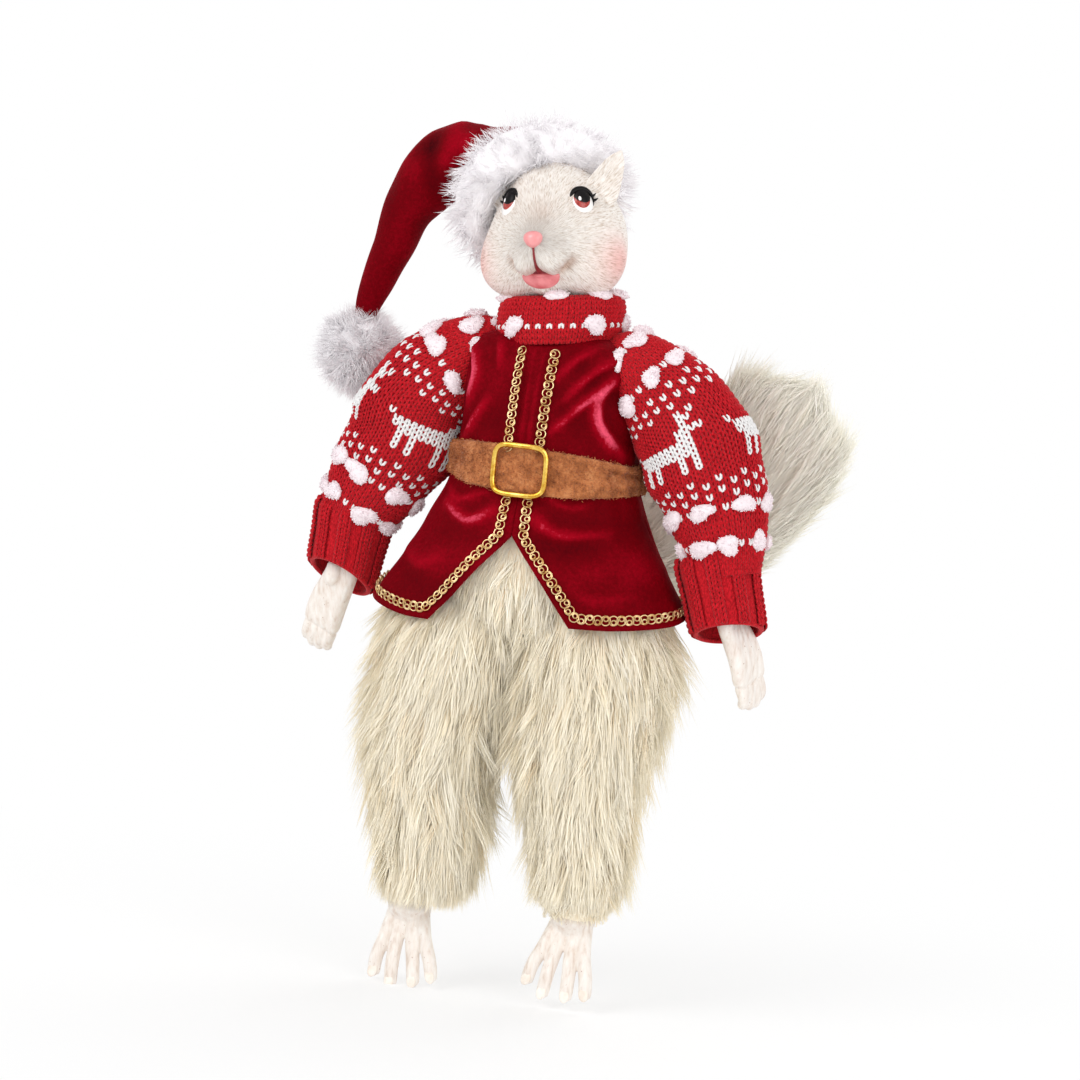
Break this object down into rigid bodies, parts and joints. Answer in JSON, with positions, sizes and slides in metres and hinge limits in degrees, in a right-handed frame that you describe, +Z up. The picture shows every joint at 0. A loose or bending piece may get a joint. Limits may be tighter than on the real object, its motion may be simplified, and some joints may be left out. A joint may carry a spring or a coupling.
{
  "type": "posable squirrel doll",
  "caption": "Posable white squirrel doll with cast head, hands and feet, plush legs and tail, knitted sweater, belted velvet vest and drooping fur-trimmed hat.",
  "frame": {"origin": "middle of the waist, level with the belt's mid height, where a doll stand grips it", "axes": "+Z up along the body, -Y out of the doll's front, +X to the doll's own left"},
  "size_m": [0.2794, 0.1782, 0.4586],
  "materials": {
    "cast_resin": "painted matte cast resin",
    "velvet": "crushed velvet",
    "red_knit": "chunky acrylic knit",
    "cream_plush": "long pile plush",
    "white_fur": "long pile plush",
    "gold_braid": "metallic gimp braid",
    "suede": "brushed suede",
    "gold_metal": "polished plating",
    "wire": "soft iron wire",
    "cotton_cord": "waxed cord"
  },
  "bodies": {
    "torso": {"vest_bodice": "velvet", "vest_flap_left": "velvet", "vest_flap_right": "velvet", "vest_back_skirt": "velvet", "front_braid_left": "gold_braid", "front_braid_right": "gold_braid", "flap_braid_left": "gold_braid", "flap_braid_right": "gold_braid", "back_hem_braid": "gold_braid", "belt_strap": "suede", "belt_buckle": "gold_metal", "body_core": "cream_plush", "spine_wire": "wire", "collar": "red_knit", "neck_tie": "cotton_cord"},
    "head": {"head": "cast_resin", "hat_brim": "white_fur", "hat_crown": "velvet"},
    "hat_tip": {"hat_tip": "velvet", "hat_pompom": "white_fur"},
    "tail": {"tail": "cream_plush", "tail_wire": "wire"},
    "upper_arm_left": {"upper_sleeve_left": "red_knit", "upper_arm_wire_left": "wire"},
    "forearm_left": {"lower_sleeve_left": "red_knit", "cuff_left": "red_knit", "lower_arm_wire_left": "wire"},
    "hand_left": {"hand_left": "cast_resin"},
    "upper_leg_left": {"thigh_left": "cream_plush", "thigh_wire_left": "wire"},
    "lower_leg_left": {"shin_left": "cream_plush", "shin_wire_left": "wire"},
    "foot_left": {"foot_left": "cast_resin"},
    "upper_arm_right": {"upper_sleeve_right": "red_knit", "upper_arm_wire_right": "wire"},
    "forearm_right": {"lower_sleeve_right": "red_knit", "cuff_right": "red_knit", "lower_arm_wire_right": "wire"},
    "hand_right": {"hand_right": "cast_resin"},
    "upper_leg_right": {"thigh_right": "cream_plush", "thigh_wire_right": "wire"},
    "lower_leg_right": {"shin_right": "cream_plush", "shin_wire_right": "wire"},
    "foot_right": {"foot_right": "cast_resin"}
  },
  "joints": [
    {"name": "head_turn", "type": "hinge", "parent": "torso", "child": "head", "pos_m": [0, 0, 0.0778], "axis": [-0.1219, 0, 0.9925], "range_deg": [-40, 15]},
    {"name": "hat_tip_swing", "type": "hinge", "parent": "head", "child": "hat_tip", "pos_m": [-0.089, 0.015, 0.16], "axis": [0, 1, 0], "range_deg": [0, 35]},
    {"name": "tail_lean", "type": "hinge", "parent": "torso", "child": "tail", "pos_m": [0, 0.044, -0.058], "axis": [-1, 0, 0], "range_deg": [-5, 35]},
    {"name": "shoulder_swing_left", "type": "hinge", "parent": "torso", "child": "upper_arm_left", "pos_m": [0.048, 0, 0.06], "axis": [-1, 0, 0], "range_deg": [-15, 110]},
    {"name": "elbow_bend_left", "type": "hinge", "parent": "upper_arm_left", "child": "forearm_left", "pos_m": [0.084, 0, 0.007], "axis": [-1, 0, 0], "range_deg": [0, 60]},
    {"name": "hand_turn_left", "type": "hinge", "parent": "forearm_left", "child": "hand_left", "pos_m": [0.106, 0, -0.069], "axis": [0.2781, 0, -0.9606], "range_deg": [-40, 40]},
    {"name": "hip_bend_left", "type": "hinge", "parent": "torso", "child": "upper_leg_left", "pos_m": [0.036, 0, -0.067], "axis": [-1, 0, 0], "range_deg": [-15, 85], "deforming": ["vest_flap_left", "flap_braid_left"]},
    {"name": "knee_bend_left", "type": "hinge", "parent": "upper_leg_left", "child": "lower_leg_left", "pos_m": [0.042, 0, -0.149], "axis": [1, 0, 0], "range_deg": [0, 80]},
    {"name": "ankle_bend_left", "type": "hinge", "parent": "lower_leg_left", "child": "foot_left", "pos_m": [0.045, 0, -0.243], "axis": [-1, 0, 0], "range_deg": [0, 70]},
    {"name": "shoulder_swing_right", "type": "hinge", "parent": "torso", "child": "upper_arm_right", "pos_m": [-0.048, 0, 0.06], "axis": [-1, 0, 0], "range_deg": [-15, 110]},
    {"name": "elbow_bend_right", "type": "hinge", "parent": "upper_arm_right", "child": "forearm_right", "pos_m": [-0.084, 0, 0.007], "axis": [-1, 0, 0], "range_deg": [0, 60]},
    {"name": "hand_turn_right", "type": "hinge", "parent": "forearm_right", "child": "hand_right", "pos_m": [-0.106, 0, -0.069], "axis": [-0.2781, 0, -0.9606], "range_deg": [-40, 40]},
    {"name": "hip_bend_right", "type": "hinge", "parent": "torso", "child": "upper_leg_right", "pos_m": [-0.036, 0, -0.067], "axis": [-1, 0, 0], "range_deg": [-15, 85], "deforming": ["vest_flap_right", "flap_braid_right"]},
    {"name": "knee_bend_right", "type": "hinge", "parent": "upper_leg_right", "child": "lower_leg_right", "pos_m": [-0.042, 0, -0.149], "axis": [1, 0, 0], "range_deg": [0, 80]},
    {"name": "ankle_bend_right", "type": "hinge", "parent": "lower_leg_right", "child": "foot_right", "pos_m": [-0.045, 0, -0.243], "axis": [-1, 0, 0], "range_deg": [0, 70]}
  ]
}
